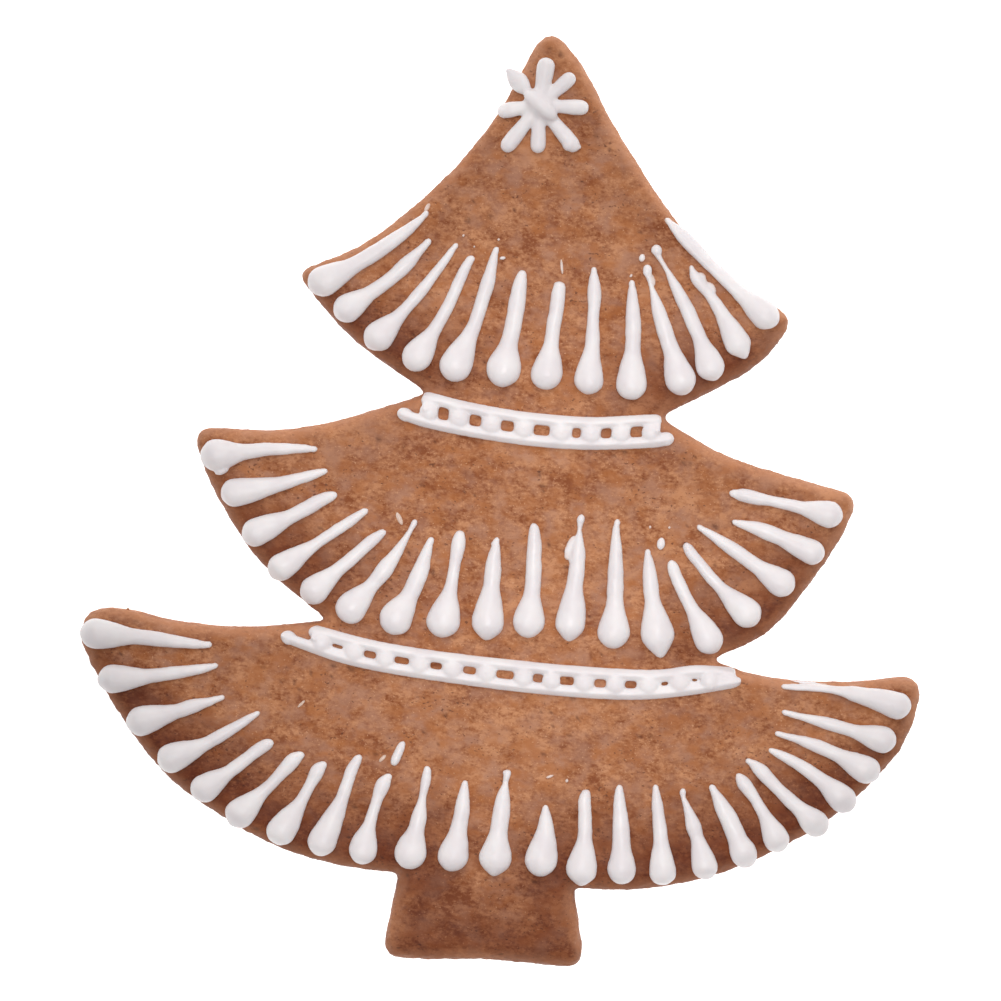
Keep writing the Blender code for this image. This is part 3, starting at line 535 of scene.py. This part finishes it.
# Dabs of icing that run into a drop. One row each: x, y, length, width, lean and thickness, in
# millimetres and degrees.
DABS = {
    "top_drop_02": ((-19.6, 38.3, 1.3, 0.7, 20, 0.7),),
    "top_drop_04": ((-5.6, 38.6, 1.1, 0.6, 75, 0.6),),
    "top_drop_07": ((3.35, 35.2, 0.9, 0.5, -25, 0.6), (4.5, 35.1, 0.8, 0.5, 30, 0.6)),
    "top_drop_10": ((17.8, 38.7, 2.1, 1.5, -10, 0.9), (18.7, 37.4, 2.2, 1.1, -30, 0.35)),
    "top_drop_11": ((19.0, 42.2, 2.0, 1.5, -20, 1.0),),
    "top_drop_12": ((26.7, 38.4, 2.2, 1.3, -30, 0.45), (28.1, 36.9, 2.4, 1.5, -40, 0.45)),
    "middle_drop_01": ((-47.3, 0.5, 2.4, 1.4, 60, 1.2),),
    "middle_drop_09": ((-2.8, -7.1, 1.2, 0.6, 50, 0.6),),
    "middle_drop_11": ((9.7, -6.7, 4.6, 1.9, 15, 0.5), (10.85, -1.95, 1.6, 1.2, 10, 0.9)),
    "bottom_drop_24": ((50.5, -24.9, 9.6, 0.8, -86, 0.25),),
}
WOBBLES = (                     # size, depth and direction of the unevenness of piping by hand
    (5.0 * MM, 0.45 * MM, "X"),
    (5.5 * MM, 0.35 * MM, "Y"),
    (2.6 * MM, 0.24 * MM, "NORMAL"),
)


def foot_of(piece):
    """The vertices of a piece's flat underside."""
    foot = np.zeros(len(piece.data.vertices), dtype=bool)
    for face in piece.data.polygons:
        if face.normal.z < FOOT_SLOPE:
            foot[list(face.vertices)] = True
    return foot


def lay_on_biscuit(piece):
    """Let a piece of icing down, and press its foot into the biscuit's uneven face."""
    foot = foot_of(piece)
    places = places_of(piece)
    places[:, 2] -= SET_DOWN
    for index in np.flatnonzero(foot):
        above = Vector(places[index]) - PROBE_RISE * DOWN
        hit = biscuit_skin.ray_cast(above, DOWN, PROBE_RISE + FOOT_REACH)[0]
        if hit:
            places[index, 2] = hit.z - FOOT_SINK
    move_to(piece, places)


def smooth_out(piece, fineness):
    """Subdivide a piece and let it shrink little: its cage is first swelled to make up for it."""
    cage = places_of(piece)
    smoothing = piece.modifiers.new("smooth_out", "SUBSURF")
    smoothing.levels = smoothing.render_levels = fineness
    skin = piece.evaluated_get(bpy.context.evaluated_depsgraph_get())
    reached = places_of(skin)[:len(cage)]
    move_to(piece, cage + DROP_FULLNESS * (cage - reached))
    pick(piece)
    bpy.ops.object.modifier_apply(modifier=smoothing.name)


def dab(x, y, length, width, lean, thickness):
    """A small oval of icing on the biscuit, as a loose ball to be run into its neighbour."""
    hit = biscuit_skin.ray_cast(Vector((x, y, DAB_PROBE)), DOWN)[0]
    middle = hit.z + DAB_RISE * thickness if hit else top_face
    bpy.ops.object.select_all(action="DESELECT")
    bpy.ops.mesh.primitive_ico_sphere_add(
        subdivisions=3, radius=0.5, location=(x, y, middle),
        rotation=(0.0, 0.0, -math.radians(lean)), scale=(width, length, thickness))
    return bpy.context.object


def join_to(piece, dabs):
    """Make dabs part of a piece, still loose in it."""
    pick(piece)
    for extra in dabs:
        extra.select_set(True)
    bpy.ops.object.join()


def listed_dabs(rows):
    """Dabs from rows in millimetres, the last column but one in degrees."""
    return [dab(x * MM, y * MM, length * MM, width * MM, lean, thickness * MM)
            for x, y, length, width, lean, thickness in rows]


def blunt_tip(piece):
    """A dab that fills out the pointed end of a drop's tail, which lies furthest up and inwards."""
    places = places_of(piece)
    end = places[np.argmax(places[:, 1] - np.abs(places[:, 0]))]
    away = np.hypot(*(places - end)[:, :2].T)
    ring = places[np.argsort(away)[1:RING_CORNERS + 1]]
    along = (ring.mean(axis=0) - end)[:2]
    along /= np.hypot(*along)
    ring_width = np.ptp(ring[:, :2] @ (-along[1], along[0]))
    width, length, thickness = (share * ring_width for share in TIP_SIZE)
    x, y = end[:2] + along * length * TIP_DEPTH
    return dab(x, y, length, width, math.degrees(math.atan2(along[0], along[1])), thickness)


def run_together(piece, step, rounds, swell):
    """Melt a piece into one soft skin, as wet icing does, and swell it by what melting takes."""
    apply_modifier(piece, "REMESH", mode="VOXEL", voxel_size=step)
    apply_modifier(piece, "SMOOTH", factor=0.5, iterations=rounds)
    apply_modifier(piece, "DISPLACE", strength=swell, mid_level=0.0)


def record_thickness(piece):
    """Store how thick the icing lies over the biscuit, in millimetres."""
    places = places_of(piece)
    thickness = np.empty(len(places))
    for index, place in enumerate(places):
        hit = biscuit_skin.ray_cast(Vector(place) - PROBE_RISE * DOWN, DOWN)[0]
        thickness[index] = (place[2] - hit.z) / MM if hit else OFF_THE_EDGE
    record_on(piece, "thickness", thickness)


def finish_icing(piece, nodes):
    """Give a piece of icing its material and its place in the frame."""
    record_thickness(piece)
    piece.data.shade_smooth()
    piece.data.materials.clear()
    piece.data.materials.append(royal_icing)
    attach(piece, "root")
    if nodes:
        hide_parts(*nodes)


ICING_WHITES = ((0.75, 0.695, 0.705, 1.0), (0.80, 0.755, 0.755, 1.0))
ICING_PATCH = 4.0               # size in millimetres
SEEN_THROUGH = (0.60, 0.37, 0.26, 1.0)  # thin tails and feet let the biscuit's colour through
THIN_SPAN = (0.45, 0.05)        # from this thickness in millimetres, and most at this one
MOST_SEEN_THROUGH = 0.88
ICING_GLOSS = (0.36, 0.5)       # the least and the most rough patches


def royal_icing_material():
    """Set icing: a little uneven in its white, satin, and thin where it runs out."""
    material, tree, shader = new_material("set_royal_icing")
    places = millimetres(tree)
    thin = rescale(tree, recorded(tree, "thickness"), *THIN_SPAN, 0.0, MOST_SEEN_THROUGH)
    white = rescale(tree, clouds(tree, places, ICING_PATCH), 0.35, 0.65)
    colour = blend(tree, thin, blend(tree, white, *ICING_WHITES), SEEN_THROUGH)
    tree.links.new(colour, shader.inputs["Base Color"])
    gloss = patches(tree, places, 1.5, *ICING_GLOSS, 2.0)
    tree.links.new(gloss, shader.inputs["Roughness"])
    shader.inputs["Specular IOR Level"].default_value = 0.4
    shader.inputs["Subsurface Weight"].default_value = 0.35
    shader.inputs["Subsurface Radius"].default_value = (1.0, 0.8, 0.7)
    shader.inputs["Subsurface Scale"].default_value = 0.4 * MM
    ripples = add_node(tree, "ShaderNodeBump", Height=clouds(tree, places, 0.8, 3.0),
                       Strength=0.3, Distance=0.06 * MM)
    tree.links.new(ripples.outputs["Normal"], shader.inputs["Normal"])
    return material


biscuit_skin = BVHTree.FromPolygons(
    [vert.co for vert in biscuit.data.vertices],
    [face.vertices[:] for face in biscuit.data.polygons])
royal_icing = royal_icing_material()
drop_nodes = sorted(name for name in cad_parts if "_drop_" in name or name == "bottom_dash")
for node in drop_nodes:
    drop = copy_of_solid(node, "piped_" + node)
    lay_on_biscuit(drop)
    dabs = [blunt_tip(drop)] + listed_dabs(DABS.get(node, ()))
    smooth_out(drop, DROP_FINENESS)
    join_to(drop, dabs)
    run_together(drop, DROP_STEP, *DROP_MELTING)
    for size, depth, direction in WOBBLES:
        roughen(drop, size, depth, direction=direction)
    finish_icing(drop, [node])

# Ladder bands ------------------------------------------------------------------------------------
# On each neck two lines of icing were piped side by side, with a row of dots set between them. All
# ran together while wet, and left square holes where the biscuit shows.
BAND_STEP = 0.17 * MM
RAILS_MELTING = (9, 0.03 * MM)  # the rails melted on their own, and again with the dots
DOTS_MELTING = (6, 0.01 * MM)
DOT_SIZE = (3.0 * MM, 3.0 * MM, 1.4 * MM)
DOT_RISE = 0.82 * MM            # a dot's middle stands this high over the biscuit
DOT_DROP = 0.25 * MM            # and lies this far below the middle of the band
DOT_SECTION = 0.5 * MM          # that middle is measured over this much on each side of it
DOTS = {                        # where along each band its dots were set, in millimetres
    "upper_band": (-15.1, -10.2, -5.0, 0.3, 6.3, 11.1, 15.9, 20.7),
    "lower_band": (-28.9, -23.5, -18.4, -12.8, -7.5, -2.0, 4.0, 8.5, 13.8, 18.8, 24.1, 29.1, 33.8),
}
RAIL_ENDS = {  # x, y, length, width, lean and thickness, in millimetres and degrees
    "upper_band": (
        (-18.8, 12.1, 2.8, 2.2, 108, 1.5), (23.2, 12.1, 2.7, 2.3, 82, 1.5),
        (21.0, 14.8, 2.6, 2.0, 80, 1.4), (-15.5, 14.7, 2.2, 2.0, 0, 1.4),
    ),
    "lower_band": (
        (-34.1, -25.3, 2.6, 2.3, 112, 1.6), (37.2, -25.9, 2.4, 1.5, 75, 1.3),
        (-29.8, -24.1, 2.5, 2.1, 100, 1.5),
    ),
}


def set_dot(band, x):
    """A ball of icing on the middle of a band, at this place along it."""
    section = [vert.co.y for vert in band.data.vertices if abs(vert.co.x - x) < DOT_SECTION]
    middle = (min(section) + max(section)) / 2
    bpy.ops.object.select_all(action="DESELECT")
    bpy.ops.mesh.primitive_ico_sphere_add(
        subdivisions=4, radius=0.5, location=(x, middle - DOT_DROP, top_face + DOT_RISE),
        scale=DOT_SIZE)
    return bpy.context.object


for node, stops in DOTS.items():
    band = copy_of_solid(node, "piped_" + node)
    lay_on_biscuit(band)
    run_together(band, BAND_STEP, *RAILS_MELTING)
    join_to(band, [set_dot(band, stop * MM) for stop in stops] + listed_dabs(RAIL_ENDS[node]))
    run_together(band, BAND_STEP, *DOTS_MELTING)
    finish_icing(band, [node])

# Star --------------------------------------------------------------------------------------------
# Eight short strokes of icing from one middle. One of them slid over the biscuit's edge, and
# another ends in a ragged blob. A last fat stroke lies across the middle.
STAR_DABS = (  # x, y, length, width, lean and thickness, in millimetres and degrees
    (-1.8, 63.5, 6.8, 2.9, 127, 3.2),
    (3.4, 57.9, 2.2, 2.6, 120, 1.7),
    (4.8, 57.5, 1.1, 0.8, 100, 0.8),
)
ARMS_MELTING = (20, 0.11 * MM)  # the arms melted on their own, and again with these dabs
STAR_MELTING = (12, 0.05 * MM)

star = copy_of_solid("star", "piped_star")
lay_on_biscuit(star)
run_together(star, BAND_STEP, *ARMS_MELTING)
join_to(star, listed_dabs(STAR_DABS))
run_together(star, BAND_STEP, *STAR_MELTING)
finish_icing(star, ["star"])

# Spatters and smears -----------------------------------------------------------------------------
# Drips of icing that fell from the nozzle and set where they landed, and thin smears where the
# nozzle brushed the biscuit.
SPATTERS = (  # x, y, length, width, lean and thickness, in millimetres and degrees
    (4.0, 38.1, 2.4, 0.45, 170, 0.35),
    (16.7, 40.7, 1.25, 1.0, 10, 0.6),
    (15.2, 37.7, 0.6, 0.45, 30, 0.35),
    (-12.2, 41.6, 0.5, 0.4, 0, 0.3),
    (-6.5, 41.5, 0.45, 0.4, 40, 0.3),
    (-10.3, 40.0, 0.35, 0.3, 0, 0.25),
    (24.0, -4.7, 2.0, 1.3, 5, 0.8),
    (22.0, -2.2, 0.5, 0.4, 0, 0.3),
    (25.1, -2.0, 0.45, 0.4, 0, 0.3),
    (9.7, -43.6, 1.3, 0.45, 65, 0.3),
    (12.5, -44.0, 0.6, 0.5, 20, 0.3),
)
SMEARS = (
    (-18.2, -4.6, 2.2, 0.8, -30, 0.16),
    (-18.4, 45.5, 1.6, 0.7, 25, 0.2),
    (-31.1, -35.7, 1.6, 0.45, 40, 0.11),
    (-17.3, -43.2, 1.5, 0.6, 40, 0.12),
)
DRIP_WOBBLES = (                # size, depth and direction of their unevenness
    (0.8 * MM, 0.12 * MM, "X"),
    (0.9 * MM, 0.12 * MM, "Y"),
)

for name, rows in (("icing_spatters", SPATTERS), ("icing_smears", SMEARS)):
    drips = listed_dabs(rows)
    join_to(drips[0], drips[1:])
    drips[0].name = name
    bpy.ops.object.transform_apply()
    for size, depth, direction in DRIP_WOBBLES:
        roughen(drips[0], size, depth, direction=direction)
    finish_icing(drips[0], [])

# Crumbs ------------------------------------------------------------------------------------------
# Scraps of dough that the cutter tore off. They baked on to the biscuit's edge.
CRUMBS = (  # x, y, length, width, lean and thickness, in millimetres and degrees
    (-60.4, -22.6, 1.5, 0.7, 0, 0.9),
    (-56.7, -24.0, 0.9, 0.7, 60, 0.8),
    (-54.3, -24.3, 0.7, 0.6, 0, 0.8),
    (24.2, 17.0, 1.0, 0.8, 40, 0.9),
    (39.7, 28.7, 1.0, 0.7, -40, 0.9),
    (48.9, -7.6, 0.9, 0.6, 30, 0.8),
    (34.4, 22.6, 0.8, 0.6, 0, 0.8),
    (4.5, 70.0, 0.9, 0.6, 50, 0.8),
)
CRUMB_HANG = 2.4 * MM           # a crumb sits this far below the top face
CRUMB_BUMPS = (0.5 * MM, 0.4 * MM)  # size and depth


def crumb(x, y, length, width, lean, thickness):
    """A crumb half sunk in the biscuit's wall, at the place on the edge nearest to this one."""
    place = np.array((x, y)) * MM
    spots = []
    for start, end, _ in biscuit_outline:
        along = end - start
        spots.append(start + along * np.clip((place - start) @ along / (along @ along), 0.0, 1.0))
    spot = min(spots, key=lambda other: np.hypot(*(other - place)))
    made = dab(*spot, length * MM, width * MM, lean, thickness * MM)
    made.location.z = top_face - CRUMB_HANG
    return made


crumbs = [crumb(*row) for row in CRUMBS]
join_to(crumbs[0], crumbs[1:])
crumbs[0].name = "baked_crumbs"
bpy.ops.object.transform_apply()
for direction in ("X", "Y", "Z"):
    roughen(crumbs[0], *CRUMB_BUMPS, direction=direction)
crumbs[0].data.shade_smooth()
crumbs[0].data.materials.append(bpy.data.materials["baked_gingerbread"])
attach(crumbs[0], "root")
